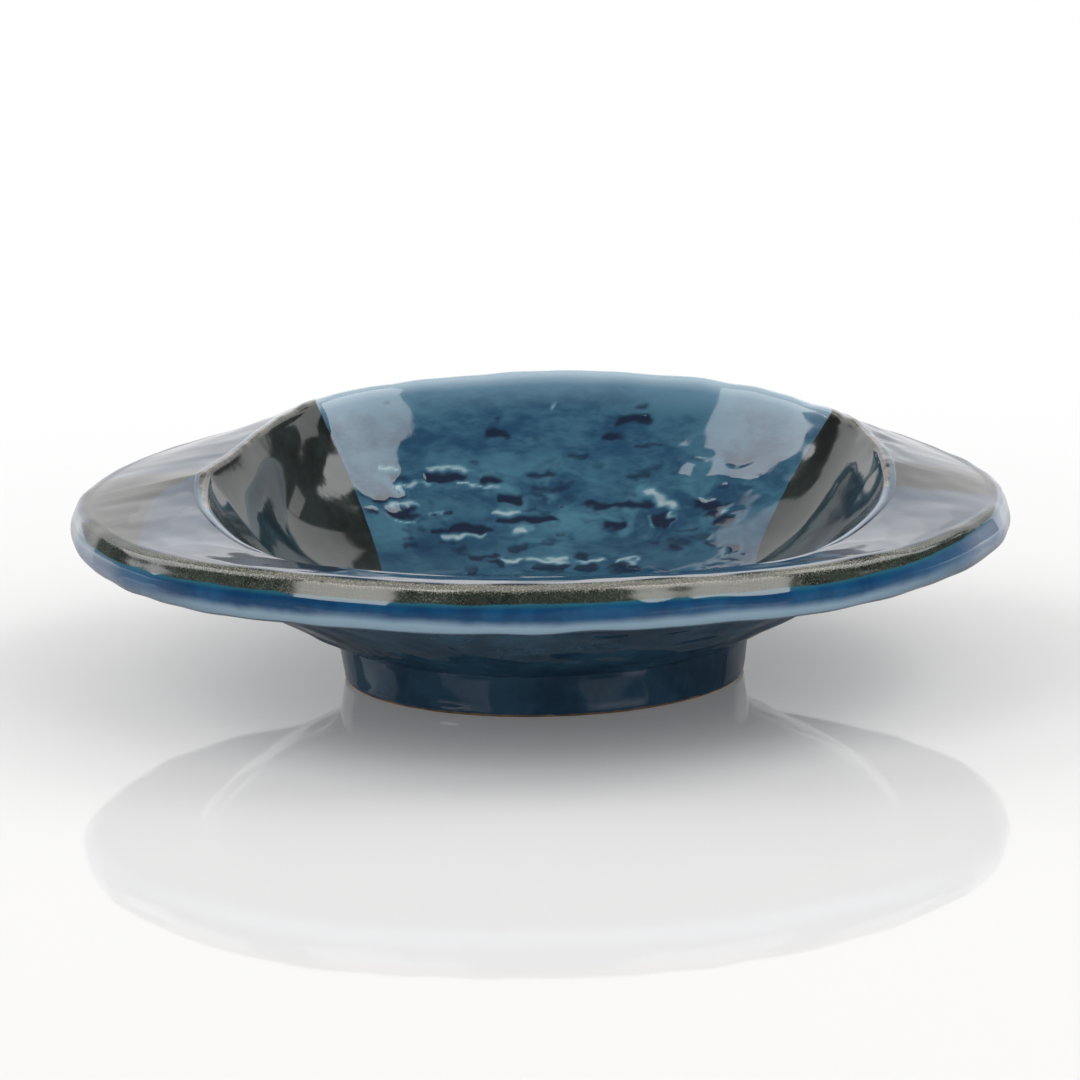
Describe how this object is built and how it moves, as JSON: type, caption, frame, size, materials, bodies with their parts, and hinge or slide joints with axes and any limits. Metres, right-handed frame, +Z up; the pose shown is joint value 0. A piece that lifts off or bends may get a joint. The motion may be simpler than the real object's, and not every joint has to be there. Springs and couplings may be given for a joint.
{
  "type": "ceramic dish",
  "caption": "Round glazed ceramic dish with an oval well, a raised lip, broad side shoulders with a thick rolled edge, and a low foot ring, for condiments or small servings.",
  "frame": {"origin": "centre of the foot ring, on the surface that the dish stands on", "axes": "+Z up; +Y towards the high side of the lip, -Y towards its low side; X across the broad shoulders"},
  "size_m": [0.18, 0.18, 0.045],
  "materials": {
    "well_glaze": "glossy blue glaze pooling dark in impressed marks, with a black-green band down each side",
    "shoulder_glaze": "glossy blue glaze with a speckled green-black edge, broken to pale clay along the ridge",
    "foot_glaze": "glossy navy glaze ending in a thin line of bare clay at the base"
  },
  "bodies": {
    "root": {"well_bowl": "well_glaze", "rim_shoulder": "shoulder_glaze", "foot_ring": "foot_glaze"}
  },
  "joints": []
}
